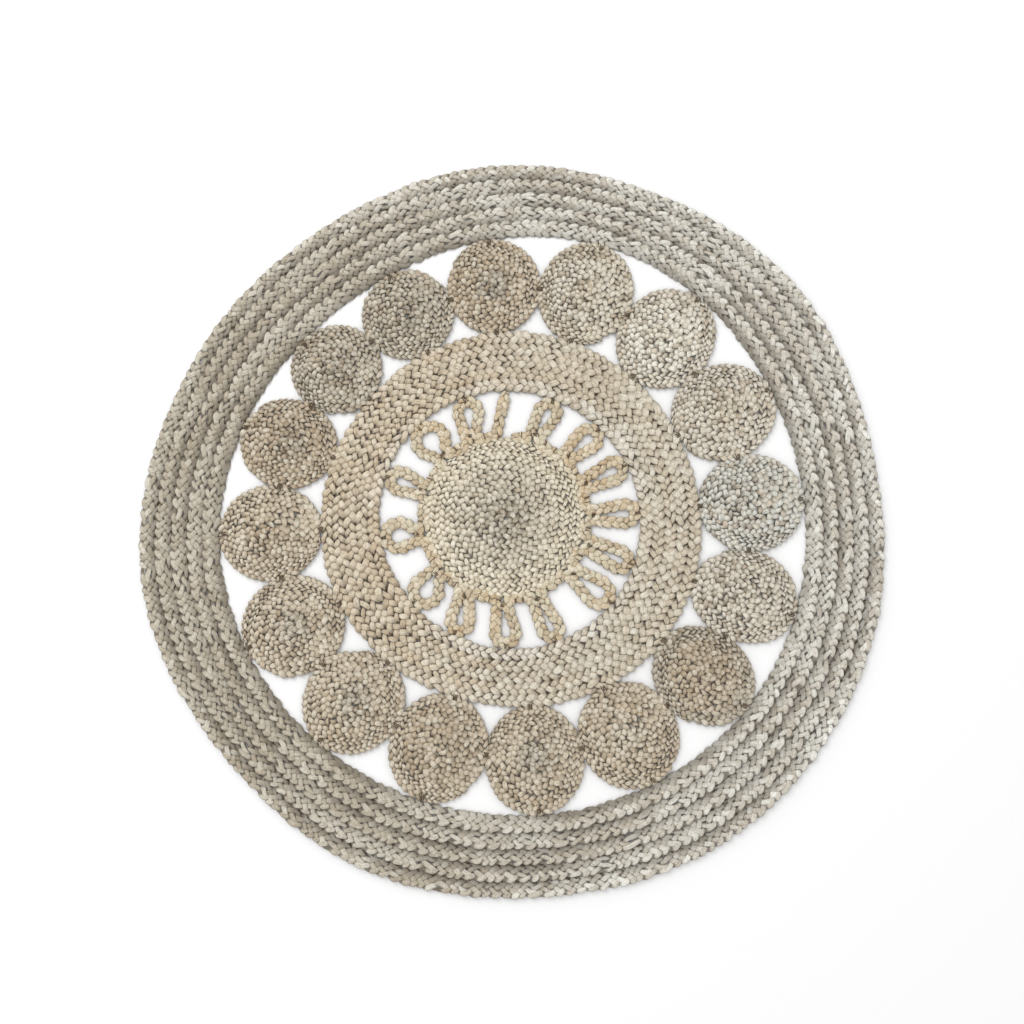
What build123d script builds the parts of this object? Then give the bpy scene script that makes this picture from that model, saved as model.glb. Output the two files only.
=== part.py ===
from build123d import *
import os
from math import asin, atan2, ceil, cos, degrees, floor, hypot, radians, sin, sqrt

os.makedirs("parts", exist_ok=True)

# Round braided rug, lying flat. Lengths in millimetres, angles in degrees from +X.
# An edge is (mean radius, waves); a wave is (bulges round the rug, height, angle of a bulge).
border_outer = (598, [(1, 8, -40), (2, 4, 18), (3, 6, -51), (5, 3.4, 36), (7, 2.4, -12)])
border_inner = (470, [(1, 6, -27), (2, 5, 32), (3, 7, -48), (4, 2, -16)])
ring_outer = (306, [(1, 2.6, 133), (2, 2.6, -27), (3, 4, -40)])
ring_inner = (211, [(1, 5.5, 165), (2, 3, -35)])
border_rows = 5
ring_rows = 5
border_height = 10
ring_height = 9
braid_gap = 0.5             # left between braids that the sewing thread pulls together
shoulder = 2                # how far a row's upper edges stand back, and how deep
edge_step = 7.5             # degrees between the points of an edge

# Rosettes: where each one sits round the rug
rosette_angles = [95, 72, 50, 27, 4, 341, 321, 298, 275, 252, 229, 206, 183, 161, 140, 117]
rosette_turns = 5.5
rosette_height = 9

# Centre disc
disc_centre = (-14, 4)
disc_radius = 126
disc_turns = 8.5
disc_height = 9

# A coil's end thins out and tucks in over this share of a turn
tail_share = 0.3
tail_cut = 0.08
tail_step = 137             # each coil ends at another angle
coil_step = 22.5            # degrees between the points of a coil's wall

# Loop braid: one braid that runs round the disc and out into loops
loop_width = 15.5
loop_height = 8
neck_bend = 9               # bend radius where a loop leaves the disc
tip_gap = 0.6
strand_angle = 100          # where the single strand from the ring meets the disc
strand_bend = 13
strand_top = (2, 206)       # the strand's end against the ring's first row, from disc_centre
run_end = 84 + 360          # where the braid stops beside the strand
# neck angle, eye angle and eye radius of each loop, seen from disc_centre
loops = [
    (113, 109, 17), (135, 134, 24), (162, 161, 16.5), (192, 190, 21), (220, 223.5, 21),
    (243, 247, 15.5), (268.5, 270.5, 17), (291.5, 292.5, 14), (320.5, 321, 19), (341.5, 339.5, 15),
    (361, 361.5, 15.5), (382, 383, 16), (404, 403, 17), (429.5, 427.5, 16),
]

# Sewing thread
thread = 1.4
stitch_length = 9
stitch_pitch = 2.6          # between the side by side stitches of one tack


def edge_radius(edge, angle):
    mean, waves = edge
    return mean + sum(height * cos(radians(count * (angle - lead))) for count, height, lead in waves)


def polar(radius, angle, centre=(0, 0)):
    return (centre[0] + radius * cos(radians(angle)), centre[1] + radius * sin(radians(angle)))


def arc_chain(points):
    """Arcs through every second point of a list with an odd number of points."""
    return [ThreePointArc(*points[i:i + 3]) for i in range(0, len(points) - 2, 2)]


def closed_face(radius_at, grow=0):
    angles = [i * edge_step for i in range(round(360 / edge_step) + 1)]
    return make_face(arc_chain([polar(radius_at(angle % 360) + grow, angle) for angle in angles]))


def row_radius(inner, outer, share):
    """Radius at an angle, a share of the way from the inner edge to the outer one."""
    return lambda angle: edge_radius(inner, angle) * (1 - share) + edge_radius(outer, angle) * share


def braid_row(inner, outer, row, rows, height):
    """One braid laid round the rug, a share of the band between two edges."""
    low = row_radius(inner, outer, row / rows)
    high = row_radius(inner, outer, (row + 1) / rows)
    side = braid_gap / 2
    foot = extrude(closed_face(high, -side) - closed_face(low, side), height - shoulder)
    crown = closed_face(high, -side - shoulder) - closed_face(low, side + shoulder)
    return foot + Pos(0, 0, height - shoulder) * extrude(crown, shoulder)


def seam_thread(inner, outer, seam, rows, height):
    """The thread that lies in the valley between two rows."""
    middle = row_radius(inner, outer, seam / rows)
    ring = extrude(closed_face(middle, thread / 2) - closed_face(middle, -thread / 2), thread)
    return Pos(0, 0, height - thread) * ring


def coil_share(turn, turns):
    """Outer wall of a coil after some turns, as a share of its full radius."""
    rest = turns - 1 - turn
    if rest <= 0:
        return 1.0
    part = min((rest - floor(rest)) / tail_share, 1)
    stepped = floor(rest) + part * part * (3 - 2 * part)
    even = min(rest / 1.5, 1)
    return 1 - (stepped * (1 - even) + rest * even) / (turns - 0.5)


def coil(radius_at, turns, height, start):
    """A braid wound into a flat coil; radius_at gives the rim's radius at an angle."""
    def wall(first, last, turn_shift, gap):
        count = 2 * ceil((last - first) * 180 / coil_step)
        points = []
        for i in range(count + 1):
            turn = first + (last - first) * i / count
            angle = start + 360 * turn
            radius = radius_at(angle) * coil_share(turn - turn_shift, turns) + gap
            points.append(polar(radius, angle))
        return arc_chain(points)

    last = turns - tail_cut
    outer = wall(0, last, 0, 0)
    inner = wall(1, last, 1, braid_gap)
    tail = Line(outer[-1] @ 1, inner[-1] @ 1)
    eye = Line(outer[0] @ 0, inner[0] @ 0)
    return extrude(make_face(outer + [tail] + inner + [eye]), height)


def rosette_places():
    """Centre and half length along the radius of each rosette, between ring and border."""
    places = []
    for angle in rosette_angles:
        low = edge_radius(ring_outer, angle)
        high = edge_radius(border_inner, angle)
        places.append((polar((low + high) / 2, angle), (high - low) / 2 - braid_gap))
    return places


def rosette_rim(index, places):
    """Rim radius of a rosette: half an oval towards each neighbour, so that they meet."""
    centre, long_half = places[index]
    angle = rosette_angles[index]
    halves = {}
    for side, other in ((1, index - 1), (-1, (index + 1) % len(places))):
        dx = places[other][0][0] - centre[0]
        dy = places[other][0][1] - centre[1]
        reach = hypot(dx, dy) / 2 - braid_gap / 2
        slant = radians(degrees(atan2(dy, dx)) - angle - side * 90)
        halves[side] = sqrt(reach ** 2 - (long_half * sin(slant)) ** 2) / cos(slant)

    def rim(direction):
        turn = radians(direction - angle)
        short_half = halves[1 if sin(turn) >= 0 else -1]
        return 1 / sqrt((cos(turn) / long_half) ** 2 + (sin(turn) / short_half) ** 2)

    return rim


def ring_distance(angle):
    """From disc_centre to the ring's inner edge."""
    distance = edge_radius(ring_inner, angle)
    for _ in range(20):
        x, y = polar(distance, angle, disc_centre)
        distance += edge_radius(ring_inner, degrees(atan2(y, x))) - hypot(x, y)
    return distance


def tangent(start, end, sense):
    """Straight run from circle to circle: sense 1 leaves clockwise, -1 anticlockwise."""
    (cx, cy), start_radius = start
    (ex, ey), end_radius = end
    heading = atan2(ey - cy, ex - cx)
    heading -= sense * asin((start_radius + end_radius) / hypot(ex - cx, ey - cy))
    left = (-sin(heading), cos(heading))
    first = (cx + sense * start_radius * left[0], cy + sense * start_radius * left[1])
    second = (ex - sense * end_radius * left[0], ey - sense * end_radius * left[1])
    return first, second


def run_radius():
    return disc_radius + braid_gap + loop_width / 2


def neck_half_angle():
    reach = run_radius() + neck_bend
    return degrees(asin((2 * neck_bend + loop_width + tip_gap) / 2 / reach))


def loop_route():
    """The braid's middle line, as ("line", a, b) and ("arc", centre, radius, from, to)."""
    def angle_at(point, centre):
        return degrees(atan2(point[1] - centre[1], point[0] - centre[0]))

    route = []
    # the single strand: in from the ring and round onto the disc's edge
    strand_centre = polar(run_radius() + strand_bend, strand_angle, disc_centre)
    top = (disc_centre[0] + strand_top[0], disc_centre[1] + strand_top[1])
    foot = tangent((top, 0), (strand_centre, strand_bend), -1)[1]
    route.append(("line", top, foot))
    turn_from = angle_at(foot, strand_centre)
    route.append(("arc", strand_centre, strand_bend, turn_from, strand_angle - 180))
    here = strand_angle
    half = neck_half_angle()
    for neck, eye, eye_radius in loops:
        out_centre = polar(run_radius() + neck_bend, neck - half, disc_centre)
        back_centre = polar(run_radius() + neck_bend, neck + half, disc_centre)
        eye_reach = ring_distance(eye) - tip_gap - loop_width / 2 - eye_radius
        eye_centre = polar(eye_reach, eye, disc_centre)
        a, b = tangent((out_centre, neck_bend), (eye_centre, eye_radius), 1)
        c, d = tangent((eye_centre, eye_radius), (back_centre, neck_bend), -1)
        out_to = angle_at(a, out_centre)
        eye_from = angle_at(b, eye_centre)
        eye_to = angle_at(c, eye_centre)
        back_from = angle_at(d, back_centre)
        route.append(("arc", disc_centre, run_radius(), here, neck - half))
        route.append(("arc", out_centre, neck_bend, neck - half + 180, unwind(out_to, neck - half + 180, -1)))
        route.append(("line", a, b))
        route.append(("arc", eye_centre, eye_radius, eye_from, unwind(eye_to, eye_from, 1)))
        route.append(("line", c, d))
        back_to = neck + half + 180
        route.append(("arc", back_centre, neck_bend, back_from, unwind(back_to, back_from, -1)))
        here = neck + half
    route.append(("arc", disc_centre, run_radius(), here, run_end))
    return route


def unwind(angle, start, sense):
    """The angle, moved by full turns so that it comes after start in the sense given."""
    while sense * (angle - start) < 0:
        angle += sense * 360
    while sense * (angle - start) >= 360:
        angle -= sense * 360
    return angle


def ribbon_side(route, offset):
    """Edges that run beside the route, offset to its left."""
    edges = []
    for kind, *values in route:
        if kind == "line":
            (ax, ay), (bx, by) = values
            length = hypot(bx - ax, by - ay)
            shift = (-(by - ay) / length * offset, (bx - ax) / length * offset)
            edges.append(Line((ax + shift[0], ay + shift[1]), (bx + shift[0], by + shift[1])))
        else:
            centre, radius, first, last = values
            wide = radius - offset if last > first else radius + offset
            marks = [polar(wide, angle, centre) for angle in (first, (first + last) / 2, last)]
            edges.append(ThreePointArc(*marks))
    return edges


def ribbon(route, width, height):
    left = ribbon_side(route, width / 2)
    right = ribbon_side(route, -width / 2)
    caps = [Line(left[0] @ 0, right[0] @ 0), Line(left[-1] @ 1, right[-1] @ 1)]
    return extrude(make_face(left + right + caps), height)


def tack(place, direction, height, count):
    """A few stitches side by side, each laid over a seam in the direction given."""
    stitches = []
    for i in range(count):
        shift = (i - (count - 1) / 2) * stitch_pitch
        stitch = extrude(SlotOverall(stitch_length, thread), thread)
        stitches.append(Pos(*place, height) * Rot(0, 0, direction) * Pos(0, shift, 0) * stitch)
    return stitches


def rosette_tacks(places):
    """Stitches that hold each rosette to its neighbour, to the ring and to the border."""
    side, inner, outer = [], [], []
    for index, (centre, long_half) in enumerate(places):
        angle = rosette_angles[index]
        other = places[(index + 1) % len(places)][0]
        middle = ((centre[0] + other[0]) / 2, (centre[1] + other[1]) / 2)
        chord = degrees(atan2(other[1] - centre[1], other[0] - centre[0]))
        side += tack(middle, chord, rosette_height, 3)
        inner += tack(polar(edge_radius(ring_outer, angle), angle), angle, ring_height, 3)
        rim = edge_radius(border_inner, angle) - stitch_length / 2 - braid_gap
        outer += tack(polar(rim, angle), angle, rosette_height, 3)
    return side, inner, outer


def loop_tacks():
    """Stitches that close each neck, hold it to the disc and hold each loop's tip."""
    necks, feet, tips = [], [], []
    for neck, eye, _ in loops:
        necks += tack(polar(run_radius() + neck_bend, neck, disc_centre), neck + 90, loop_height, 2)
        for side in (-1, 1):
            foot = neck + side * neck_half_angle() * 1.3
            feet += tack(polar(run_radius() + 2, foot, disc_centre), foot, loop_height, 1)
        tip = ring_distance(eye) - tip_gap - stitch_length / 2
        tips += tack(polar(tip, eye, disc_centre), eye, loop_height, 2)
    return necks, feet, tips


def save(name, shape):
    export_step(shape, f"parts/{name}.step")


def save_group(name, solids):
    save(name, Compound(children=solids))


for row in range(border_rows):
    save(f"border_row_{row + 1}", braid_row(border_inner, border_outer, row, border_rows, border_height))
for seam in range(1, border_rows):
    thread_ring = seam_thread(border_inner, border_outer, seam, border_rows, border_height)
    save(f"border_seam_thread_{seam}", thread_ring)

for row in range(ring_rows):
    save(f"ring_row_{row + 1}", braid_row(ring_inner, ring_outer, row, ring_rows, ring_height))
for seam in range(1, ring_rows):
    save(f"ring_seam_thread_{seam}", seam_thread(ring_inner, ring_outer, seam, ring_rows, ring_height))

places = rosette_places()
for index, (centre, _) in enumerate(places):
    flat_coil = coil(rosette_rim(index, places), rosette_turns, rosette_height, index * tail_step)
    save(f"rosette_{index + 1:02d}", Pos(*centre, 0) * flat_coil)

disc = coil(lambda angle: disc_radius, disc_turns, disc_height, 0)
save("centre_disc", Pos(*disc_centre, 0) * disc)
save("loop_braid", ribbon(loop_route(), loop_width, loop_height))

side_tacks, inner_tacks, outer_tacks = rosette_tacks(places)
save_group("rosette_side_tacks", side_tacks)
save_group("rosette_ring_tacks", inner_tacks)
save_group("rosette_border_tacks", outer_tacks)
neck_tacks, foot_tacks, tip_tacks = loop_tacks()
save_group("loop_neck_tacks", neck_tacks)
save_group("loop_foot_tacks", foot_tacks)
save_group("loop_tip_tacks", tip_tacks)
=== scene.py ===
import bpy
import bmesh
import math
import numpy as np
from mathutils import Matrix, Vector
from mathutils.bvhtree import BVHTree


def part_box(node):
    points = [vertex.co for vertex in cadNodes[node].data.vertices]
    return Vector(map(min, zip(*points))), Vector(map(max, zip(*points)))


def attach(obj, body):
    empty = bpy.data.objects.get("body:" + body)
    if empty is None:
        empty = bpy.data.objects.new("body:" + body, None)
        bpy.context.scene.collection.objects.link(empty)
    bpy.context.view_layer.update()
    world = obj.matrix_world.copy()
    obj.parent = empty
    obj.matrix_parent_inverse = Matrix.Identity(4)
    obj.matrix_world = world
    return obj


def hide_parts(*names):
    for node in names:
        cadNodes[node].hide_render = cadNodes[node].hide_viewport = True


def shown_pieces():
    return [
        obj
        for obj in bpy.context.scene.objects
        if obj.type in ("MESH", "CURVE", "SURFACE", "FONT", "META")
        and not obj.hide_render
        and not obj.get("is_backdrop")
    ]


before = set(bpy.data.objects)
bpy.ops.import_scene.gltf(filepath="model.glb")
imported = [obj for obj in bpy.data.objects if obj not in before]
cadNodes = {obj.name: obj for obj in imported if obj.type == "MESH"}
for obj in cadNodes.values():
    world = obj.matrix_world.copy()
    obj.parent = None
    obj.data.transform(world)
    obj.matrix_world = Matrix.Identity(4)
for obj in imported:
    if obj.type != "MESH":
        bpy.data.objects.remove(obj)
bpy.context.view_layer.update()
scene = bpy.context.scene
scene.view_settings.view_transform = "Standard"

# camera
cameraView = {
    "place": (-0.0019, -0.1192, 1.5023),
    "target": (-0.0019, 0.0115, 0.008),
    "lens": 32.6,
    "sensor": 36,
}


def makeCamera():
    data = bpy.data.cameras.new("camera")
    data.lens = cameraView["lens"]
    data.sensor_width = cameraView["sensor"]
    camera = bpy.data.objects.new("camera", data)
    scene.collection.objects.link(camera)
    camera.location = cameraView["place"]
    look = Vector(cameraView["target"]) - Vector(cameraView["place"])
    camera.rotation_euler = look.to_track_quat("-Z", "Y").to_euler()
    scene.camera = camera


makeCamera()
print("camera set")


# nodes, for geometry and shader trees alike
def addNode(tree, kind, inputs=None, **settings):
    node = tree.nodes.new(kind)
    for setting, value in settings.items():
        setattr(node, setting, value)
    for key, value in (inputs or {}).items():
        if isinstance(value, bpy.types.NodeSocket):
            tree.links.new(value, node.inputs[key])
        else:
            node.inputs[key].default_value = value
    return node


def calc(tree, operation, *values):
    return addNode(tree, "ShaderNodeMath", dict(enumerate(values)), operation=operation).outputs[0]


def scaled(tree, vector, amount):
    return addNode(tree, "ShaderNodeVectorMath", {0: vector, "Scale": amount}, operation="SCALE").outputs[0]


def summed(tree, first, second):
    return addNode(tree, "ShaderNodeVectorMath", {0: first, 1: second}, operation="ADD").outputs[0]


def joined(tree, x, y, z):
    return addNode(tree, "ShaderNodeCombineXYZ", {0: x, 1: y, 2: z}).outputs[0]


def noise(tree, vector, scale, detail=2.0, w=0.0):
    return addNode(tree, "ShaderNodeTexNoise", {"Vector": vector, "W": w, "Scale": scale, "Detail": detail},
                   noise_dimensions="4D").outputs[0]


def outwardOf(tree):
    # level, and square to the path
    tangent = addNode(tree, "GeometryNodeInputTangent").outputs[0]
    return addNode(tree, "ShaderNodeVectorMath", {0: tangent, 1: (0, 0, 1)},
                   operation="CROSS_PRODUCT").outputs[0]


def openTree(name, inputs):
    tree = bpy.data.node_groups.new(name, "GeometryNodeTree")
    tree.interface.new_socket("Geometry", in_out="INPUT", socket_type="NodeSocketGeometry")
    for label, kind in inputs:
        tree.interface.new_socket(label, in_out="INPUT", socket_type="NodeSocket" + kind)
    tree.interface.new_socket("Geometry", in_out="OUTPUT", socket_type="NodeSocketGeometry")
    return tree, tree.nodes.new("NodeGroupInput").outputs


def closeTree(tree, shape, material):
    real = addNode(tree, "GeometryNodeRealizeInstances", {"Geometry": shape}).outputs[0]
    smooth = addNode(tree, "GeometryNodeSetShadeSmooth", {"Geometry": real}).outputs[0]
    painted = addNode(tree, "GeometryNodeSetMaterial", {"Geometry": smooth, "Material": material}).outputs[0]
    addNode(tree, "NodeGroupOutput", {0: painted})


def stored(tree, shape, name, value):
    node = addNode(tree, "GeometryNodeStoreNamedAttribute",
                   {"Geometry": shape, "Name": name, "Value": value},
                   data_type="FLOAT", domain="POINT")
    return node.outputs[0]


def readBack(tree, name):
    node = addNode(tree, "GeometryNodeInputNamedAttribute", {"Name": name}, data_type="FLOAT")
    return node.outputs["Attribute"]


weave = {
    "flatness": 0.6,        # of a strand's top and underside, where 1 is round
    "slackScale": 22.0,     # of the unevenness along a braid
    "slackShare": 0.7,
    "wobbleScale": 90.0,    # of each strand's own wobble
    "wobbleShare": 0.6,
    "wobbleStep": 5.3,      # sets one strand's wobble apart from the next one's
    "thicknessScale": 55.0,
    "leafStep": 977.0,      # more than the leaves of one strand, so that no two have the same number
    "runStep": 3.7,         # sets one strand's fibres apart from the next one's
    "leanShare": 0.42,      # of the braid's width times its lean, by which it is raised
    "sagShare": 0.3,
}


def ovalProfile(tree, points, width, thickness):
    # an oval that starts at its lowest point, which is where y is largest; "around" runs from 0 to 1
    circle = addNode(tree, "GeometryNodeCurvePrimitiveCircle", {"Resolution": points}).outputs[0]
    share = addNode(tree, "GeometryNodeSplineParameter").outputs["Factor"]
    angle = calc(tree, "MULTIPLY", share, math.tau)
    x = calc(tree, "MULTIPLY", calc(tree, "SINE", angle), calc(tree, "MULTIPLY", width, -0.5))
    cosine = calc(tree, "COSINE", angle)
    flattened = calc(tree, "POWER", calc(tree, "ABSOLUTE", cosine), weave["flatness"])
    flattened = calc(tree, "MULTIPLY", flattened, calc(tree, "SIGN", cosine))
    y = calc(tree, "MULTIPLY", flattened, calc(tree, "MULTIPLY", thickness, 0.5))
    marked = stored(tree, circle, "around", share)
    return addNode(tree, "GeometryNodeSetPosition",
                   {"Geometry": marked, "Position": joined(tree, x, y, 0.0)}).outputs[0]


def makeBraidTree():
    # strands that swing from side to side along a path and pass over and under each other
    tree, given = openTree("Braid", [
        ("Strands", "Int"), ("Pitch", "Float"), ("Nominal Width", "Float"), ("Spread", "Float"),
        ("Strand Width", "Float"), ("Strand Thickness", "Float"), ("Rise", "Float"), ("Lean", "Float"),
        ("Crown", "Float"), ("Zigzag", "Float"), ("Lag", "Float"), ("Bulge", "Float"), ("Slack", "Float"),
        ("Segment", "Float"), ("Lowest", "Float"), ("Sides", "Int"), ("Seed", "Int"),
        ("Material", "Material"),
    ])
    path = addNode(tree, "GeometryNodeMeshToCurve", {"Mesh": given["Geometry"]}).outputs[0]
    path = addNode(tree, "GeometryNodeResampleCurve",
                   {"Curve": path, "Length": given["Segment"]}, mode="LENGTH").outputs[0]
    length = addNode(tree, "GeometryNodeCurveLength", {0: path}).outputs[0]
    copies = addNode(tree, "GeometryNodeDuplicateElements",
                     {"Geometry": path, "Amount": given["Strands"]}, domain="SPLINE")
    strand = copies.outputs["Duplicate Index"]
    spline = addNode(tree, "GeometryNodeSplineParameter").outputs
    position = addNode(tree, "GeometryNodeInputPosition").outputs[0]

    # how far along its swing a strand is, in whole swings
    swings = calc(tree, "ROUND", calc(tree, "DIVIDE", length, given["Pitch"]))
    uneven = noise(tree, position, weave["slackScale"], 1.0, given["Seed"])
    uneven = calc(tree, "MULTIPLY", calc(tree, "SUBTRACT", uneven, 0.5), given["Slack"])
    cycle = calc(tree, "MULTIPLY", spline["Factor"], swings)
    cycle = calc(tree, "ADD", cycle, calc(tree, "DIVIDE", strand, given["Strands"]))
    cycle = calc(tree, "ADD", cycle, calc(tree, "MULTIPLY", uneven, weave["slackShare"]))
    crossings = calc(tree, "MULTIPLY", cycle, calc(tree, "SUBTRACT", given["Strands"], 1.0))
    crossings = calc(tree, "SUBTRACT", crossings, given["Lag"])

    # side: a sine drawn towards a zigzag, lift: a sine with flattened tops
    sine = calc(tree, "SINE", calc(tree, "MULTIPLY", cycle, math.tau))
    zigzag = calc(tree, "ARCSINE", calc(tree, "MULTIPLY", sine, given["Zigzag"]))
    side = calc(tree, "DIVIDE", zigzag, calc(tree, "ARCSINE", given["Zigzag"]))
    wave = calc(tree, "SINE", calc(tree, "MULTIPLY", crossings, math.tau))
    flat = calc(tree, "SQRT", calc(tree, "ADD", calc(tree, "MULTIPLY", wave, wave), 1.0))
    lift = calc(tree, "DIVIDE", calc(tree, "MULTIPLY", wave, math.sqrt(2)), flat)
    leaf = calc(tree, "FLOOR", calc(tree, "ADD", crossings, 0.25))
    leafId = calc(tree, "ADD", leaf, calc(tree, "MULTIPLY", strand, weave["leafStep"]))
    leafTone = addNode(tree, "FunctionNodeRandomValue", {7: leafId, 8: given["Seed"]},
                       data_type="FLOAT").outputs[1]
    run = calc(tree, "ADD", spline["Length"], calc(tree, "MULTIPLY", strand, weave["runStep"]))

    shape = stored(tree, copies.outputs[0], "side", side)
    shape = stored(tree, shape, "lift", lift)
    shape = stored(tree, shape, "leaf", leafTone)
    shape = stored(tree, shape, "run", run)

    # move each strand's points off the path
    room = calc(tree, "MULTIPLY", readBack(tree, "room"), given["Spread"])
    size = calc(tree, "DIVIDE", room, given["Nominal Width"])
    reach = calc(tree, "SUBTRACT", given["Nominal Width"], given["Strand Width"])
    reach = calc(tree, "MULTIPLY", calc(tree, "MULTIPLY", reach, 0.5), size)
    wobble = noise(tree, position, weave["wobbleScale"], 0.0,
                   calc(tree, "MULTIPLY", strand, weave["wobbleStep"]))
    wobble = calc(tree, "MULTIPLY", calc(tree, "SUBTRACT", wobble, 0.5), given["Slack"])
    wobble = calc(tree, "MULTIPLY", wobble, weave["wobbleShare"])
    sideways = calc(tree, "MULTIPLY", calc(tree, "ADD", side, wobble), reach)
    outward = outwardOf(tree)
    base = calc(tree, "ADD", given["Rise"], calc(tree, "MULTIPLY", given["Strand Thickness"], 0.5))
    half = calc(tree, "MULTIPLY", calc(tree, "MULTIPLY", given["Nominal Width"], given["Spread"]),
                weave["leanShare"])
    base = calc(tree, "ADD", base, calc(tree, "MULTIPLY", half, calc(tree, "ABSOLUTE", given["Lean"])))
    height = calc(tree, "ADD", base, calc(tree, "MULTIPLY", lift, given["Rise"]))
    height = calc(tree, "ADD", height, calc(tree, "MULTIPLY", sideways, given["Lean"]))
    sag = calc(tree, "MULTIPLY", calc(tree, "MULTIPLY", side, side), given["Crown"])
    sag = calc(tree, "MULTIPLY", sag, calc(tree, "MULTIPLY", reach, weave["sagShare"]))
    height = calc(tree, "SUBTRACT", height, sag)
    offset = summed(tree, scaled(tree, outward, sideways), joined(tree, 0.0, 0.0, height))
    shape = addNode(tree, "GeometryNodeSetPosition", {"Geometry": shape, "Offset": offset}).outputs[0]

    # lay each strand flat, turned down a little at the braid's edges
    shape = addNode(tree, "GeometryNodeSetCurveNormal", {"Curve": shape}, mode="Z_UP").outputs[0]
    tilt = calc(tree, "SUBTRACT", calc(tree, "MULTIPLY", readBack(tree, "side"), given["Crown"]),
                calc(tree, "ARCTANGENT", given["Lean"]))
    shape = addNode(tree, "GeometryNodeSetCurveTilt", {"Curve": shape, "Tilt": tilt}).outputs[0]
    thick = addNode(tree, "ShaderNodeTexNoise", {"Scale": weave["thicknessScale"], "Detail": 0.0}).outputs[0]
    thick = calc(tree, "MULTIPLY", calc(tree, "SUBTRACT", thick, 0.5), given["Slack"])
    thick = calc(tree, "ADD", thick, 1.0)
    roomThere = calc(tree, "MULTIPLY", readBack(tree, "room"), given["Spread"])
    bulge = calc(tree, "ADD", readBack(tree, "lift"), calc(tree, "SUBTRACT", readBack(tree, "leaf"), 0.5))
    thick = calc(tree, "ADD", thick, calc(tree, "MULTIPLY", bulge, given["Bulge"]))
    scale = calc(tree, "MULTIPLY", calc(tree, "DIVIDE", roomThere, given["Nominal Width"]), thick)
    profile = ovalProfile(tree, given["Sides"], given["Strand Width"], given["Strand Thickness"])
    mesh = addNode(tree, "GeometryNodeCurveToMesh",
                   {"Curve": shape, "Profile Curve": profile, "Scale": scale, "Fill Caps": True}).outputs[0]

    # the underside is flat where the rug lies on the floor
    corner = addNode(tree, "GeometryNodeInputPosition").outputs[0]
    corner = addNode(tree, "ShaderNodeSeparateXYZ", {0: corner}).outputs
    level = joined(tree, corner[0], corner[1], calc(tree, "MAXIMUM", corner[2], given["Lowest"]))
    mesh = addNode(tree, "GeometryNodeSetPosition", {"Geometry": mesh, "Position": level}).outputs[0]
    closeTree(tree, mesh, given["Material"])
    return tree


lacingShape = {"sides": 5, "slackScale": 14.0}


def makeLacingTree():
    # one thread wound round a seam
    tree, given = openTree("Lacing", [
        ("Pitch", "Float"), ("Reach", "Float"), ("Middle Height", "Float"), ("Dip", "Float"),
        ("Thread", "Float"), ("Segment", "Float"), ("Seed", "Int"), ("Material", "Material"),
    ])
    path = addNode(tree, "GeometryNodeMeshToCurve", {"Mesh": given["Geometry"]}).outputs[0]
    path = addNode(tree, "GeometryNodeResampleCurve",
                   {"Curve": path, "Length": given["Segment"]}, mode="LENGTH").outputs[0]
    length = addNode(tree, "GeometryNodeCurveLength", {0: path}).outputs[0]
    factor = addNode(tree, "GeometryNodeSplineParameter").outputs["Factor"]
    position = addNode(tree, "GeometryNodeInputPosition").outputs[0]
    turns = calc(tree, "ROUND", calc(tree, "DIVIDE", length, given["Pitch"]))
    uneven = noise(tree, position, lacingShape["slackScale"], w=given["Seed"])
    angle = calc(tree, "ADD", calc(tree, "MULTIPLY", factor, turns), uneven)
    angle = calc(tree, "MULTIPLY", angle, math.tau)
    shape = stored(tree, path, "run", addNode(tree, "GeometryNodeSplineParameter").outputs["Length"])
    swing = calc(tree, "MULTIPLY", calc(tree, "SINE", angle), given["Reach"])
    sideways = scaled(tree, outwardOf(tree), swing)
    height = calc(tree, "ADD", calc(tree, "MULTIPLY", calc(tree, "COSINE", angle), given["Dip"]),
                  given["Middle Height"])
    offset = summed(tree, sideways, joined(tree, 0.0, 0.0, height))
    shape = addNode(tree, "GeometryNodeSetPosition", {"Geometry": shape, "Offset": offset}).outputs[0]
    profile = ovalProfile(tree, lacingShape["sides"], given["Thread"], given["Thread"])
    mesh = addNode(tree, "GeometryNodeCurveToMesh",
                   {"Curve": shape, "Profile Curve": profile, "Fill Caps": True}).outputs[0]
    closeTree(tree, mesh, given["Material"])
    return tree


stitchShape = {
    "steps": 7,
    "sides": 6,
    "turn": 0.22,           # most that a stitch lies askew, in radians
    "shortest": 0.8,
    "longest": 1.15,
}


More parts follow.
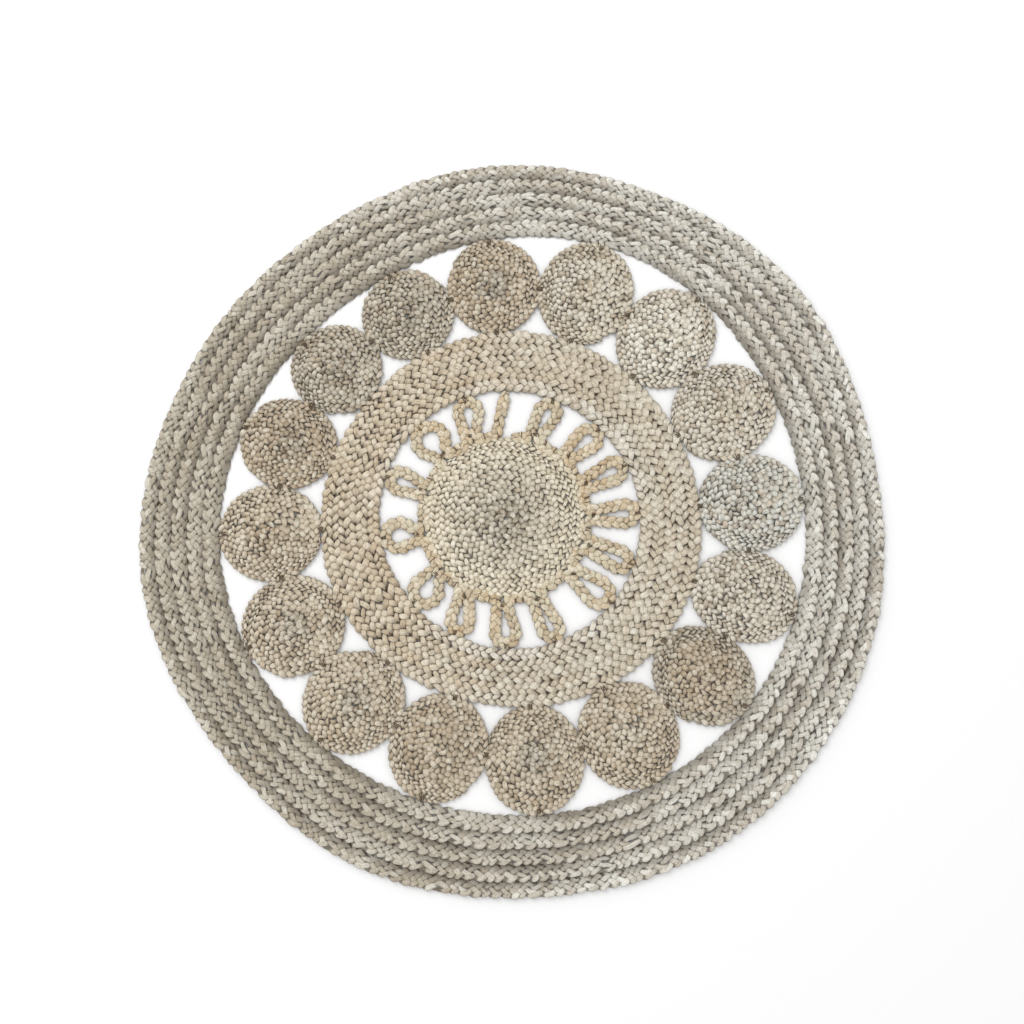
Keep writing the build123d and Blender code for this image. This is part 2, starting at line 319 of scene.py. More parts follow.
def makeStitchTree():
    # short arched stitches, one at each point, turned to its heading
    tree, given = openTree("Stitches", [
        ("Stitch Length", "Float"), ("Thread", "Float"), ("Arch", "Float"), ("Seed", "Int"),
        ("Material", "Material"),
    ])
    half = calc(tree, "MULTIPLY", given["Stitch Length"], 0.5)
    low = calc(tree, "MULTIPLY", given["Arch"], -1.0)
    arc = addNode(tree, "GeometryNodeCurveQuadraticBezier", {
        "Resolution": stitchShape["steps"],
        "Start": joined(tree, calc(tree, "MULTIPLY", half, -1.0), 0.0, low),
        "Middle": joined(tree, 0.0, 0.0, given["Arch"]),
        "End": joined(tree, half, 0.0, low),
    }).outputs[0]
    arc = stored(tree, arc, "run", addNode(tree, "GeometryNodeSplineParameter").outputs["Length"])
    profile = ovalProfile(tree, stitchShape["sides"], given["Thread"], given["Thread"])
    stitch = addNode(tree, "GeometryNodeCurveToMesh",
                     {"Curve": arc, "Profile Curve": profile, "Fill Caps": True}).outputs[0]
    turned = addNode(tree, "FunctionNodeRandomValue",
                     {2: -stitchShape["turn"], 3: stitchShape["turn"], 8: given["Seed"]}, data_type="FLOAT")
    heading = calc(tree, "ADD", readBack(tree, "heading"), turned.outputs[1])
    size = addNode(tree, "FunctionNodeRandomValue",
                   {2: stitchShape["shortest"], 3: stitchShape["longest"], 8: given["Seed"]},
                   data_type="FLOAT")
    rotation = addNode(tree, "FunctionNodeEulerToRotation", {0: joined(tree, 0.0, 0.0, heading)}).outputs[0]
    placed = addNode(tree, "GeometryNodeInstanceOnPoints", {
        "Points": given["Geometry"], "Instance": stitch, "Rotation": rotation,
        "Scale": joined(tree, size.outputs[1], 1.0, 1.0)}).outputs[0]
    closeTree(tree, placed, given["Material"])
    return tree


braidTree = makeBraidTree()
lacingTree = makeLacingTree()
stitchTree = makeStitchTree()


def grow(name, guide, tree, values):
    # runs a tree on a guide mesh and leaves a plain mesh object
    holder = bpy.data.objects.new(name + "_guide", guide)
    scene.collection.objects.link(holder)
    modifier = holder.modifiers.new("grow", "NODES")
    modifier.node_group = tree
    for item in tree.interface.items_tree:
        if item.item_type == "SOCKET" and item.in_out == "INPUT" and item.name in values:
            modifier[item.identifier] = values[item.name]
    depsgraph = bpy.context.evaluated_depsgraph_get()
    mesh = bpy.data.meshes.new_from_object(holder.evaluated_get(depsgraph), preserve_all_data_layers=True,
                                           depsgraph=depsgraph)
    bpy.data.objects.remove(holder)
    mesh.name = name
    piece = bpy.data.objects.new(name, mesh)
    scene.collection.objects.link(piece)
    return piece


def settle(piece, node):
    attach(piece, "root")
    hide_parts(node)


# colours
def dye(red, green, blue):
    # a colour as it looks, 0 to 255, turned into the linear values that nodes take
    def linear(value):
        value = value / 255
        return value / 12.92 if value <= 0.04045 else ((value + 0.055) / 1.055) ** 2.4
    return (linear(red), linear(green), linear(blue), 1)


def mixed(tree, amount, first, second, way="MIX"):
    node = addNode(tree, "ShaderNodeMix", {0: amount, 6: first, 7: second}, data_type="RGBA", blend_type=way)
    return node.outputs[2]


def spread(tree, value, low, high, lowTo=0.0, highTo=1.0):
    node = addNode(tree, "ShaderNodeMapRange", {
        "Value": value, "From Min": low, "From Max": high, "To Min": lowTo, "To Max": highTo},
        interpolation_type="SMOOTHSTEP")
    return node.outputs[0]


def attribute(tree, name):
    return addNode(tree, "ShaderNodeAttribute", attribute_name=name).outputs["Fac"]


fibre = {
    "streakLength": 0.011,  # of a bundle of fibres
    "streaksAround": 5.0,
    "hairLength": 0.006,
    "hairsAround": 17.0,
    "flecks": 300.0,
    "slowLength": 0.05,     # of the tinted stretches of a strand
    "slowAround": 0.6,
    "mottle": 60.0,
    "mottleShare": 0.35,
    "paleHairs": 0.5,
    "brownFlecks": 0.55,
    "paleFlecks": 0.6,
    "bump": 0.00045,
    "roughLow": 0.62,
    "roughHigh": 0.9,
    "shine": 0.3,
    "sheen": 0.12,
    "sheenRough": 0.5,
}


def jute(name, look):
    material = bpy.data.materials.new(name)
    material.use_nodes = True
    tree = material.node_tree
    tree.nodes.clear()
    place = addNode(tree, "ShaderNodeTexCoord").outputs["Object"]
    run = attribute(tree, "run")
    around = attribute(tree, "around")
    lift = attribute(tree, "lift")
    side = attribute(tree, "side")
    leaf = attribute(tree, "leaf")
    angle = calc(tree, "MULTIPLY", around, math.tau)
    across = calc(tree, "SINE", angle)
    upward = calc(tree, "MULTIPLY", calc(tree, "COSINE", angle), -1.0)

    # fibre bundles and single hairs, drawn out along the strand
    def strandNoise(length, count, w):
        along = calc(tree, "DIVIDE", run, length)
        vector = joined(tree, along, calc(tree, "MULTIPLY", across, count),
                        calc(tree, "MULTIPLY", upward, count))
        return noise(tree, vector, 1.0, 2.0, w)

    streak = strandNoise(fibre["streakLength"], fibre["streaksAround"], look["seed"])
    hair = strandNoise(fibre["hairLength"], fibre["hairsAround"], look["seed"] + 3.0)
    slow = strandNoise(fibre["slowLength"], fibre["slowAround"], look["seed"] + 7.0)
    patch = noise(tree, place, look["patchScale"], 3.0, look["seed"] + 1.0)
    mottle = noise(tree, place, fibre["mottle"], 2.0, look["seed"] + 2.0)

    # body colour, from the eye of a coil out to its rim
    if "eye" in look:
        centred = addNode(tree, "ShaderNodeMapping",
                          {"Vector": place, "Location": [-c for c in look["centre"]]},
                          vector_type="POINT").outputs[0]
        flat = addNode(tree, "ShaderNodeVectorMath", {0: centred, 1: (1, 1, 0)},
                       operation="MULTIPLY").outputs[0]
        reach = addNode(tree, "ShaderNodeVectorMath", {0: flat}, operation="LENGTH").outputs[1]
        reach = calc(tree, "DIVIDE", reach, look["radius"])
        ragged = calc(tree, "MULTIPLY", calc(tree, "SUBTRACT", mottle, 0.5), fibre["mottleShare"])
        reach = calc(tree, "ADD", reach, ragged)
        colour = mixed(tree, spread(tree, reach, 0.15, 0.5), look["eye"], look["middle"])
        colour = mixed(tree, spread(tree, reach, 0.55, 0.85), colour, look["body"])
    else:
        colour = mixed(tree, spread(tree, patch, 0.42, 0.62), look["body"], look["second"])

    # some leaves are paler or browner than others
    colour = mixed(tree, calc(tree, "MULTIPLY", spread(tree, leaf, 0.55, 1.0), look["paleLeaves"]),
                   colour, look["pale"])
    colour = mixed(tree, calc(tree, "MULTIPLY", spread(tree, leaf, 0.4, 0.0), look["brownLeaves"]),
                   colour, look["brown"])
    colour = mixed(tree, calc(tree, "MULTIPLY", spread(tree, slow, 0.5, 0.72), look["tints"]),
                   colour, look["tint"])
    colour = mixed(tree, calc(tree, "MULTIPLY", spread(tree, streak, 0.52, 0.34), look["streaks"]),
                   colour, look["brown"])
    colour = mixed(tree, calc(tree, "MULTIPLY", spread(tree, hair, 0.55, 0.75), fibre["paleHairs"]),
                   colour, look["pale"])

    # flecks of darker and paler fibre
    fleck = noise(tree, place, fibre["flecks"], 3.0, look["seed"] + 5.0)
    colour = mixed(tree, calc(tree, "MULTIPLY", spread(tree, fleck, 0.5, 0.3), fibre["brownFlecks"]),
                   colour, look["brown"])
    colour = mixed(tree, calc(tree, "MULTIPLY", spread(tree, fleck, 0.52, 0.72), fibre["paleFlecks"]),
                   colour, look["pale"])

    # darker towards one side of the rug, the side that shadeFrom points to, unevenly with the patches
    if "shade" in look:
        heading = math.radians(look["shadeFrom"])
        outwards = addNode(tree, "ShaderNodeVectorMath", {0: place}, operation="NORMALIZE").outputs[0]
        facing = addNode(tree, "ShaderNodeVectorMath",
                         {0: outwards, 1: (math.cos(heading), math.sin(heading), 0)}, operation="DOT_PRODUCT")
        facing = calc(tree, "ADD", facing.outputs[1], calc(tree, "SUBTRACT", patch, 0.5))
        colour = mixed(tree, spread(tree, facing, -0.7, 1.0), colour, look["shade"], "MULTIPLY")

    # painted shade in the hollows: on the sides of a strand, where it passes under the others, on the lower,
    # inner side of a leaning row, and along the seams
    flankShade = spread(tree, upward, 0.78, 0.0)
    under = spread(tree, lift, 0.1, -0.9)
    paintedShade = calc(tree, "MAXIMUM", calc(tree, "MULTIPLY", flankShade, look["flankShade"]),
                   calc(tree, "MULTIPLY", under, look["under"]))
    # painted shade on the lower, inner side of a leaning row, in patches
    groove = calc(tree, "MULTIPLY", spread(tree, side, 0.35, -0.75), look["groove"])
    patchy = spread(tree, patch, 0.4, 0.56, 0.35, 1.0)
    paintedShade = calc(tree, "MAXIMUM", paintedShade, calc(tree, "MULTIPLY", groove, patchy))
    # painted shade along the seams, in a coil weaker towards its rim
    seam = spread(tree, calc(tree, "ABSOLUTE", side), 0.7, 1.0)
    if "eye" in look:
        seam = calc(tree, "MULTIPLY", seam, spread(tree, reach, 0.0, 1.0, 1.0, 0.55))
    paintedShade = calc(tree, "MAXIMUM", paintedShade, calc(tree, "MULTIPLY", seam, look["seam"]))
    # the dark colour is laid on here as painted shade
    colour = mixed(tree, paintedShade, colour, look["dark"])

    relief = calc(tree, "ADD", streak, calc(tree, "MULTIPLY", hair, 0.6))
    bump = addNode(tree, "ShaderNodeBump", {"Strength": 1.0, "Distance": fibre["bump"], "Height": relief})
    rough = spread(tree, streak, 0.3, 0.7, fibre["roughHigh"], fibre["roughLow"])
    shader = addNode(tree, "ShaderNodeBsdfPrincipled", {
        "Base Color": colour, "Roughness": rough, "Normal": bump.outputs[0],
        "Specular IOR Level": fibre["shine"], "Sheen Weight": fibre["sheen"],
        "Sheen Roughness": fibre["sheenRough"]})
    addNode(tree, "ShaderNodeOutputMaterial", {"Surface": shader.outputs[0]})
    return material


def twine(name, look):
    # twisted thread: slanting plies along its length, with painted shade in the grooves between them
    material = bpy.data.materials.new(name)
    material.use_nodes = True
    tree = material.node_tree
    tree.nodes.clear()
    run = attribute(tree, "run")
    around = attribute(tree, "around")
    twist = calc(tree, "ADD", calc(tree, "DIVIDE", run, look["twist"]),
                 calc(tree, "MULTIPLY", around, look["plies"]))
    ply = calc(tree, "SINE", calc(tree, "MULTIPLY", twist, math.tau))
    place = addNode(tree, "ShaderNodeTexCoord").outputs["Object"]
    grain = noise(tree, place, look["grain"], 2.0, 1.0)
    # the dark colour between the plies is painted shade
    colour = mixed(tree, spread(tree, ply, -0.8, 0.6), look["dark"], look["body"])
    colour = mixed(tree, calc(tree, "MULTIPLY", grain, 0.4), colour, look["pale"])
    bump = addNode(tree, "ShaderNodeBump", {"Strength": 1.0, "Distance": look["bump"], "Height": ply})
    shader = addNode(tree, "ShaderNodeBsdfPrincipled", {
        "Base Color": colour, "Roughness": spread(tree, grain, 0.3, 0.7, 0.6, 0.85),
        "Normal": bump.outputs[0], "Specular IOR Level": fibre["shine"]})
    addNode(tree, "ShaderNodeOutputMaterial", {"Surface": shader.outputs[0]})
    return material


# guides read from the frame
feeler = {
    "height": 0.003,        # over the floor, where a piece's outline is felt for
    "skin": 0.0001,         # stepped past a wall to find the next one
    "far": 0.2,             # from outside a coil
    "steps": 240,           # round a ring
    "leastRoom": 0.004,     # narrowest that a braid gets
}


def nodeTree(*names):
    corners, faces = [], []
    for name in names:
        mesh = cadNodes[name].data
        start = len(corners)
        corners += [vertex.co for vertex in mesh.vertices]
        faces += [[start + i for i in polygon.vertices] for polygon in mesh.polygons]
    return BVHTree.FromPolygons(corners, faces)


def wallDistances(tree, centre, angle, height, count):
    # distances from centre to the first few walls met in a direction
    direction = Vector((math.cos(angle), math.sin(angle), 0))
    found, reached = [], 0.0
    start = Vector((centre[0], centre[1], height))
    for _ in range(count):
        hit = tree.ray_cast(start + direction * reached, direction)
        if hit[0] is None:
            break
        reached += hit[3] + feeler["skin"]
        found.append(reached - feeler["skin"])
    return found


def guideMesh(name, points, rooms, closed):
    mesh = bpy.data.meshes.new(name)
    edges = [(i, i + 1) for i in range(len(points) - 1)]
    if closed:
        edges.append((len(points) - 1, 0))
    mesh.from_pydata(points, edges, [])
    layer = mesh.attributes.new("room", "FLOAT", "POINT")
    layer.data.foreach_set("value", rooms)
    return mesh


def ringGuide(name, gap, height=feeler["height"], nudge=0.0):
    tree = nodeTree(name)
    points, rooms = [], []
    for step in range(feeler["steps"]):
        angle = math.tau * step / feeler["steps"]
        inner, outer = wallDistances(tree, (0, 0), angle, height, 2)
        middle = (inner + outer) / 2 + nudge
        points.append((middle * math.cos(angle), middle * math.sin(angle), 0))
        rooms.append(outer - inner + gap)
    return guideMesh(name, points, rooms, True)


coilRule = {
    "tail": 0.3,            # share of a turn over which the end thins out
    "tailCut": 0.08,
    "tailStep": 137,        # degrees from one rosette's end to the next one's
    "evenAfter": 1.5,       # turns in from the end, past which the spiral is even
    "begin": 0.05,          # turns left out at the eye
    "stepsPerTurn": 60,
    "swell": 1.03,          # how much fuller than its solid a coil lies
}


def coilShare(turn, turns):
    rest = turns - 1 - turn
    if rest <= 0:
        return 1.0
    part = min((rest - math.floor(rest)) / coilRule["tail"], 1)
    stepped = math.floor(rest) + part * part * (3 - 2 * part)
    even = min(rest / coilRule["evenAfter"], 1)
    return 1 - (stepped * (1 - even) + rest * even) / (turns - 0.5)


def coilGuide(name, centre, turns, start):
    tree = nodeTree(name)

    def rim(angle):
        # the outline, met from outside
        direction = Vector((math.cos(angle), math.sin(angle), 0))
        outside = Vector((centre[0], centre[1], feeler["height"])) + direction * feeler["far"]
        return (feeler["far"] - tree.ray_cast(outside, -direction)[3]) * coilRule["swell"]

    points, rooms = [], []
    last = turns - coilRule["tailCut"]
    count = round((last - coilRule["begin"]) * coilRule["stepsPerTurn"])
    for i in range(count + 1):
        turn = coilRule["begin"] + (last - coilRule["begin"]) * i / count
        angle = math.radians(start) + math.tau * turn
        outer = rim(angle) * coilShare(turn, turns)
        inner = rim(angle) * coilShare(turn - 1, turns)
        middle = (outer + inner) / 2
        points.append((centre[0] + middle * math.cos(angle), centre[1] + middle * math.sin(angle), 0))
        rooms.append(max(outer - inner, feeler["leastRoom"]))
    return guideMesh(name, points, rooms, False)


# lights and floor
studio = {
    "worldStrength": 0.86,
    "keyPower": 28,
    "keyPlace": (-1.1, 1.3, 2.4),
    "keySize": 1.6,
    "floorSize": 9,
    "floorLevel": -0.0004,
    "floorColour": (0.98, 0.98, 0.98, 1),
    "floorRough": 0.9,
    "floorShine": 0.1,
}


def makeStudio():
    world = bpy.data.worlds.new("studio")
    scene.world = world
    world.use_nodes = True
    background = world.node_tree.nodes["Background"]
    background.inputs["Color"].default_value = (1, 1, 1, 1)
    background.inputs["Strength"].default_value = studio["worldStrength"]
    light = bpy.data.lights.new("key", "AREA")
    light.energy = studio["keyPower"]
    light.size = studio["keySize"]
    key = bpy.data.objects.new("key", light)
    key.location = studio["keyPlace"]
    key.rotation_euler = (-Vector(studio["keyPlace"])).to_track_quat("-Z", "Y").to_euler()
    scene.collection.objects.link(key)
    half, level = studio["floorSize"] / 2, studio["floorLevel"]
    mesh = bpy.data.meshes.new("floor")
    mesh.from_pydata([(-half, -half, level), (half, -half, level), (half, half, level), (-half, half, level)],
                     [], [(0, 1, 2, 3)])
    floor = bpy.data.objects.new("floor", mesh)
    material = bpy.data.materials.new("floor")
    material.use_nodes = True
    shader = material.node_tree.nodes["Principled BSDF"]
    shader.inputs["Base Color"].default_value = studio["floorColour"]
    shader.inputs["Roughness"].default_value = studio["floorRough"]
    shader.inputs["Specular IOR Level"].default_value = studio["floorShine"]
    mesh.materials.append(material)
    scene.collection.objects.link(floor)
    floor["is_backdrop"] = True


makeStudio()
print("floor and lights set")

# border
border = {
    "rows": 5,
    "gap": 0.0005,
    "braid": {"Strands": 5, "Pitch": 0.082, "Nominal Width": 0.0256, "Spread": 1.12, "Strand Width": 0.0068,
              "Strand Thickness": 0.0034, "Rise": 0.0014, "Lean": 0.26, "Crown": 0.2, "Zigzag": 0.93,
              "Lag": 0.03, "Bulge": 0.15, "Slack": 0.8, "Segment": 0.0028, "Lowest": 0.0002, "Sides": 8},
    # dark is the colour of the painted shade in the hollows; the amounts for a strand's sides, under
    # crossings, a row's low inner side and the seams set how strong it is
    "look": {"body": dye(219, 216, 205), "second": dye(205, 198, 184), "pale": dye(245, 244, 236),
             "brown": dye(166, 154, 136), "tint": dye(214, 195, 180), "dark": dye(88, 80, 68),
             "shade": dye(230, 225, 216), "shadeFrom": 190,
             "patchScale": 5.0, "paleLeaves": 0.55, "brownLeaves": 0.4, "tints": 0.3, "streaks": 0.5,
             "flankShade": 0.75, "under": 0.75, "groove": 0.58, "seam": 0.0},
    # painted shade on the low inner side of the outermost row
    "outerGrooveShade": 0.55,
    "outerPale": 1.0,
    "squeeze": 0.0009,      # how far each row is pressed towards the middle one
}

for row in range(1, border["rows"] + 1):
    name = f"border_row_{row}"
    look = dict(border["look"], seed=row * 1.7)
    if row == border["rows"]:
        look.update(groove=border["outerGrooveShade"], paleLeaves=border["outerPale"])
    material = jute(f"jute_border_{row}", look)
    values = dict(border["braid"], Seed=row, Material=material)
    nudge = border["squeeze"] * ((border["rows"] + 1) / 2 - row)
    guide = ringGuide(name, border["gap"], nudge=nudge)
    piece = grow(f"border_braid_{row}", guide, braidTree, values)
    settle(piece, name)
print("border braided")

# middle ring
ring = {
    "rows": 5,
    "gap": 0.0005,
    "braid": {"Strands": 3, "Pitch": 0.043, "Nominal Width": 0.019, "Spread": 1.2, "Strand Width": 0.0072,
              "Strand Thickness": 0.0044, "Rise": 0.0023, "Lean": 0.0, "Crown": 0.1, "Zigzag": 0.85,
              "Lag": 0.04, "Bulge": 0.28, "Slack": 0.9, "Segment": 0.0024, "Lowest": 0.0002, "Sides": 8},
    "innermost": dye(228, 223, 211),
    # dark is the colour of the painted shade in the hollows; the amounts for a strand's sides, under
    # crossings, a row's low inner side and the seams set how strong it is
    "look": {"body": dye(214, 207, 190), "second": dye(211, 200, 179), "pale": dye(242, 238, 224),
             "brown": dye(164, 145, 118), "tint": dye(208, 186, 155), "dark": dye(92, 78, 58),
             "patchScale": 7.0, "paleLeaves": 0.5, "brownLeaves": 0.35, "tints": 0.4, "streaks": 0.45,
             "flankShade": 0.85, "under": 0.8, "groove": 0.0, "seam": 0.3,
             "shade": dye(251, 245, 238), "shadeFrom": 170},
}

for row in range(1, ring["rows"] + 1):
    name = f"ring_row_{row}"
    look = dict(ring["look"], seed=20 + row * 1.3)
    if row == 1:
        look["body"] = ring["innermost"]
    material = jute(f"jute_ring_{row}", look)
    values = dict(ring["braid"], Seed=20 + row, Material=material)
    piece = grow(f"ring_braid_{row}", ringGuide(name, ring["gap"]), braidTree, values)
    settle(piece, name)
print("ring braided")

# rosettes
rosettes = {
    "turns": 5.5,
    "braid": {"Strands": 3, "Pitch": 0.033, "Nominal Width": 0.0152, "Spread": 1.15, "Strand Width": 0.0056,
              "Strand Thickness": 0.0042, "Rise": 0.0023, "Lean": 0.0, "Crown": 0.1, "Zigzag": 0.85,
              "Lag": 0.04, "Bulge": 0.28, "Slack": 0.9, "Segment": 0.0022, "Lowest": 0.0002, "Sides": 8},
    # dark is the colour of the painted shade in the hollows; the amounts for a strand's sides, under
    # crossings, a row's low inner side and the seams set how strong it is
    "look": {"pale": dye(228, 221, 204), "brown": dye(148, 129, 103), "tint": dye(196, 169, 136),
             "dark": dye(88, 75, 57), "patchScale": 12.0, "paleLeaves": 0.6, "brownLeaves": 0.55,
             "tints": 0.5, "streaks": 0.5, "flankShade": 0.85, "under": 0.8, "groove": 0.0, "seam": 0.6},
    "dyes": {"slate": (148, 142, 130), "umber": (144, 132, 114), "stone": (182, 175, 160),
             "straw": (188, 174, 152), "wheat": (202, 190, 169), "sand": (206, 198, 180),
             "oat": (215, 210, 197), "ash": (211, 213, 206), "pale": (232, 230, 218)},
    # eye, middle and rim of each
    "tones": ["slate straw straw", "sand oat sand", "pale pale oat", "sand oat oat", "ash ash ash",
              "oat oat oat", "straw straw stone", "sand wheat wheat", "stone wheat wheat",
              "straw straw wheat", "stone wheat wheat", "stone wheat wheat", "straw wheat wheat",
              "umber straw straw", "slate stone stone", "slate stone stone"],
    "lighter": 1.05,
}


def rosetteCentre(name):
    low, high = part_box(name)
    middle = (low + high) / 2
    angle = math.atan2(middle.y, middle.x)
    inner = wallDistances(ringOutside, (0, 0), angle, feeler["height"], 2)[1]
    outer = wallDistances(borderInside, (0, 0), angle, feeler["height"], 1)[0]
    reach = (inner + outer) / 2
    return (reach * math.cos(angle), reach * math.sin(angle)), (outer - inner) / 2


ringOutside = nodeTree(f"ring_row_{ring['rows']}")
borderInside = nodeTree("border_row_1")

for index, tones in enumerate(rosettes["tones"]):
    name = f"rosette_{index + 1:02d}"
    centre, radius = rosetteCentre(name)
    eye, middle, rim = [dye(*(min(value * rosettes["lighter"], 255) for value in rosettes["dyes"][tone]))
                        for tone in tones.split()]
    look = dict(rosettes["look"], seed=40 + index * 2.1, eye=eye, middle=middle, body=rim,
                centre=(centre[0], centre[1], 0), radius=radius)
    material = jute(f"jute_rosette_{index + 1:02d}", look)
    values = dict(rosettes["braid"], Seed=40 + index, Material=material)
    guide = coilGuide(name, centre, rosettes["turns"], index * coilRule["tailStep"])
    piece = grow(f"rosette_braid_{index + 1:02d}", guide, braidTree, values)
    settle(piece, name)
print("rosettes braided")

# centre disc
disc = {
    "turns": 8.5,
    "centre": (-0.014, 0.004),
    "radius": 0.126,
    "braid": {"Strands": 3, "Pitch": 0.034, "Nominal Width": 0.0158, "Spread": 1.15, "Strand Width": 0.0058,
              "Strand Thickness": 0.0042, "Rise": 0.0023, "Lean": 0.0, "Crown": 0.1, "Zigzag": 0.85,
              "Lag": 0.04, "Bulge": 0.28, "Slack": 0.9, "Segment": 0.0023, "Lowest": 0.0002, "Sides": 8},
    # dark is the colour of the painted shade in the hollows; the amounts for a strand's sides, under
    # crossings, a row's low inner side and the seams set how strong it is
    "look": {"eye": dye(176, 171, 156), "middle": dye(212, 205, 187), "body": dye(234, 225, 202),
             "pale": dye(244, 238, 222), "brown": dye(162, 143, 115), "tint": dye(206, 179, 144),
             "dark": dye(96, 82, 62), "patchScale": 12.0, "paleLeaves": 0.5, "brownLeaves": 0.35,
             "tints": 0.3, "streaks": 0.45, "flankShade": 0.85, "under": 0.8, "groove": 0.0, "seam": 0.6,
             "seed": 81.0},
}
look = dict(disc["look"], centre=(*disc["centre"], 0), radius=disc["radius"])
values = dict(disc["braid"], Seed=81, Material=jute("jute_disc", look))
piece = grow("disc_braid", coilGuide("centre_disc", disc["centre"], disc["turns"], 0), braidTree, values)
settle(piece, "centre_disc")
print("disc braided")

# loops round the disc
loops = {
    "width": 0.0155,
    "neckBend": 0.009,
    "tipGap": 0.0006,
    "discGap": 0.0005,
    "tuck": 0.002,          # how far the feet are pressed against the disc
    "strandAngle": 100,     # where the single strand meets the disc
    "strandBend": 0.013,
    "strandTop": (0.002, 0.206),
    "end": 86 + 360,
    "endWidth": 0.45,       # share of the width left at a cut end
    "taper": 0.012,
    # neck angle, eye angle and eye radius of each loop, seen from the disc's centre
    "eyes": [(113, 109, 0.017), (135, 134, 0.024), (162, 161, 0.0165), (192, 190, 0.021), (220, 223.5, 0.021),
             (243, 247, 0.0155), (268.5, 270.5, 0.017), (291.5, 292.5, 0.014), (320.5, 321, 0.019),
             (341.5, 339.5, 0.015), (361, 361.5, 0.0155), (382, 383, 0.016), (404, 403, 0.017),
             (429.5, 427.5, 0.016)],
    "step": 0.0016,
    "braid": {"Strands": 3, "Pitch": 0.038, "Nominal Width": 0.0155, "Spread": 1.3, "Strand Width": 0.0064,
              "Strand Thickness": 0.0044, "Rise": 0.0022, "Lean": 0.0, "Crown": 0.2, "Zigzag": 0.85,
              "Lag": 0.04, "Bulge": 0.24, "Slack": 0.6, "Segment": 0.0021, "Lowest": 0.0002, "Sides": 8},
    # dark is the colour of the painted shade in the hollows; the amounts for a strand's sides, under
    # crossings, a row's low inner side and the seams set how strong it is
    "look": {"body": dye(212, 204, 180), "second": dye(208, 191, 160), "pale": dye(242, 234, 214),
             "brown": dye(162, 132, 96), "tint": dye(212, 178, 132), "dark": dye(84, 64, 42),
             "patchScale": 14.0, "paleLeaves": 0.5, "brownLeaves": 0.4, "tints": 0.5, "streaks": 0.5,
             "flankShade": 0.85, "under": 0.8, "groove": 0.0, "seam": 0.0, "seed": 91.0},
}


def polar(radius, degrees, centre=(0, 0)):
    angle = math.radians(degrees)
    return (centre[0] + radius * math.cos(angle), centre[1] + radius * math.sin(angle))


def tangentRun(start, end, sense):
    # the straight run between two bends: sense 1 leaves clockwise, -1 anticlockwise
    (cx, cy), startRadius = start
    (ex, ey), endRadius = end
    heading = math.atan2(ey - cy, ex - cx)
    heading -= sense * math.asin((startRadius + endRadius) / math.hypot(ex - cx, ey - cy))
    left = (-math.sin(heading), math.cos(heading))
    return ((cx + sense * startRadius * left[0], cy + sense * startRadius * left[1]),
            (ex - sense * endRadius * left[0], ey - sense * endRadius * left[1]))


def unwound(angle, start, sense):
    while sense * (angle - start) < 0:
        angle += sense * 360
    while sense * (angle - start) >= 360:
        angle -= sense * 360
    return angle


def angleAt(point, centre):
    return math.degrees(math.atan2(point[1] - centre[1], point[0] - centre[0]))


def loopPoints():
    centre, points = disc["centre"], []
    around = disc["radius"] + loops["discGap"] + loops["width"] / 2 - loops["tuck"]
    bend = loops["neckBend"]
    half = math.degrees(math.asin((2 * bend + loops["width"] + loops["tipGap"]) / 2 / (around + bend)))
    ringInside = nodeTree("ring_row_1")

    def line(a, b):
        count = max(round(math.hypot(b[0] - a[0], b[1] - a[1]) / loops["step"]), 1)
        for i in range(count):
            points.append((a[0] + (b[0] - a[0]) * i / count, a[1] + (b[1] - a[1]) * i / count, 0))

    def arc(middle, radius, first, last):
        count = max(round(abs(math.radians(last - first)) * radius / loops["step"]), 2)
        for i in range(count):
            points.append((*polar(radius, first + (last - first) * i / count, middle), 0))

    strandCentre = polar(around + loops["strandBend"], loops["strandAngle"], centre)
    top = (centre[0] + loops["strandTop"][0], centre[1] + loops["strandTop"][1])
    foot = tangentRun((top, 0), (strandCentre, loops["strandBend"]), -1)[1]
    line(top, foot)
    arc(strandCentre, loops["strandBend"], angleAt(foot, strandCentre), loops["strandAngle"] - 180)
    here = loops["strandAngle"]
    for neck, eye, eyeRadius in loops["eyes"]:
        out = polar(around + bend, neck - half, centre)
        back = polar(around + bend, neck + half, centre)
        wall = wallDistances(ringInside, centre, math.radians(eye), feeler["height"], 1)[0]
        reach = wall - loops["discGap"] / 2 - loops["tipGap"] - loops["width"] / 2 - eyeRadius
        middle = polar(reach, eye, centre)
        a, b = tangentRun((out, bend), (middle, eyeRadius), 1)
        c, d = tangentRun((middle, eyeRadius), (back, bend), -1)
        arc(centre, around, here, neck - half)
        arc(out, bend, neck - half + 180, unwound(angleAt(a, out), neck - half + 180, -1))
        line(a, b)
        arc(middle, eyeRadius, angleAt(b, middle), unwound(angleAt(c, middle), angleAt(b, middle), 1))
        line(c, d)
        arc(back, bend, angleAt(d, back), unwound(neck + half + 180, angleAt(d, back), -1))
        here = neck + half
    arc(centre, around, here, loops["end"])
    return points


points = loopPoints()
toEnd = [min(i, len(points) - 1 - i) * loops["step"] for i in range(len(points))]
fullness = [loops["endWidth"] + (1 - loops["endWidth"]) * distance / loops["taper"] for distance in toEnd]
rooms = [loops["width"] * min(share, 1) for share in fullness]
guide = guideMesh("loop_braid", points, rooms, False)
values = dict(loops["braid"], Seed=91, Material=jute("jute_loops", loops["look"]))
piece = grow("loops_braid", guide, braidTree, values)
settle(piece, "loop_braid")
print("loops braided")

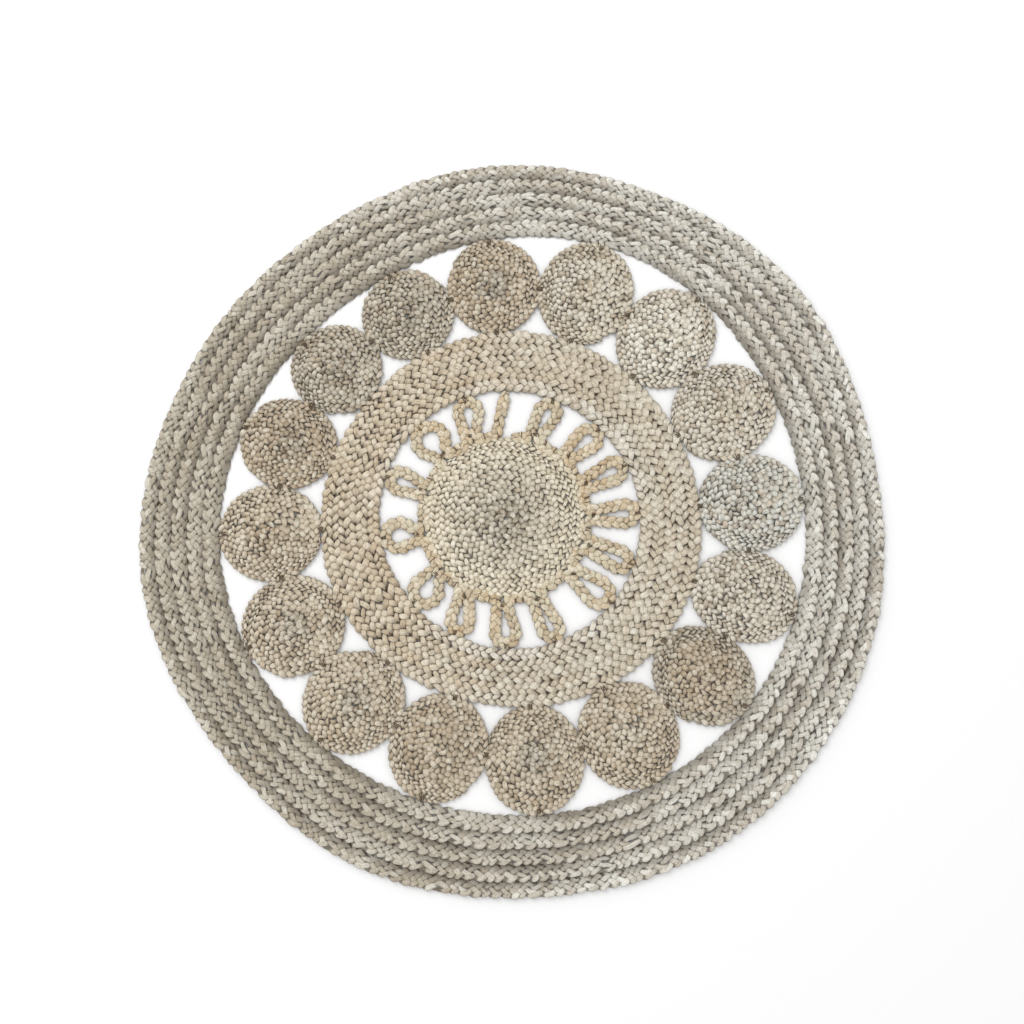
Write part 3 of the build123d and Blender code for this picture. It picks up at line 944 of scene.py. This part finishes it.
# sewing thread
sewing = {
    # dark is the colour of the painted shade between the plies
    "look": {"body": dye(96, 76, 56), "dark": dye(52, 40, 30), "pale": dye(140, 116, 88),
             "twist": 0.0024, "plies": 2.0, "grain": 700.0, "bump": 0.0003},
    "border": {"Pitch": 0.013, "Reach": 0.0022, "Middle Height": 0.0052, "Dip": 0.0024, "Thread": 0.0013,
               "Segment": 0.0016},
    "ring": {"Pitch": 0.013, "Reach": 0.0022, "Middle Height": 0.0052, "Dip": 0.0024, "Thread": 0.0013,
             "Segment": 0.0016},
    "stitch": {"Stitch Length": 0.0095, "Thread": 0.0015, "Arch": 0.0022},
    "lift": 0.0006,         # of a stitch over its solid
    "feelDepth": 0.0005,    # below a seam's top, where its outline is felt for
}
thread = twine("waxed_twine", sewing["look"])

for part, rows in (("border", border["rows"]), ("ring", ring["rows"])):
    for seam in range(1, rows):
        name = f"{part}_seam_thread_{seam}"
        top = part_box(name)[1].z
        guide = ringGuide(name, 0.0, top - sewing["feelDepth"])
        values = dict(sewing[part], Seed=seam, Material=thread)
        piece = grow(f"{part}_lacing_{seam}", guide, lacingTree, values)
        settle(piece, name)
print("seams laced")


def stitchGuide(name):
    # one point for each solid of a CAD node, with the direction of its long side
    work = bmesh.new()
    work.from_mesh(cadNodes[name].data)
    bmesh.ops.remove_doubles(work, verts=work.verts, dist=0.00001)
    left, places, headings = set(work.verts), [], []
    while left:
        stack = [min(left, key=lambda vertex: vertex.index)]
        island = set(stack)
        while stack:
            for edge in stack.pop().link_edges:
                for vertex in edge.verts:
                    if vertex not in island:
                        island.add(vertex)
                        stack.append(vertex)
        left -= island
        cloud = np.array([vertex.co[:] for vertex in island])
        middle = (cloud.min(0) + cloud.max(0)) / 2
        axes = np.linalg.eigh(np.cov((cloud - middle)[:, :2].T))[1]
        places.append((middle[0], middle[1], cloud[:, 2].max() + sewing["lift"]))
        headings.append(math.atan2(axes[1, 1], axes[0, 1]))
    work.free()
    mesh = bpy.data.meshes.new(name)
    mesh.from_pydata(places, [], [])
    mesh.attributes.new("heading", "FLOAT", "POINT").data.foreach_set("value", headings)
    return mesh


for number, name in enumerate(("rosette_side_tacks", "rosette_ring_tacks", "rosette_border_tacks",
                               "loop_neck_tacks", "loop_foot_tacks", "loop_tip_tacks")):
    values = dict(sewing["stitch"], Seed=number, Material=thread)
    piece = grow(name.replace("tacks", "stitches"), stitchGuide(name), stitchTree, values)
    settle(piece, name)
print("tacks sewn")

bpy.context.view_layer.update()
total = sum(len(p.vertices) - 2 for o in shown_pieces() if o.type == "MESH" for p in o.data.polygons)
print("triangles", total)
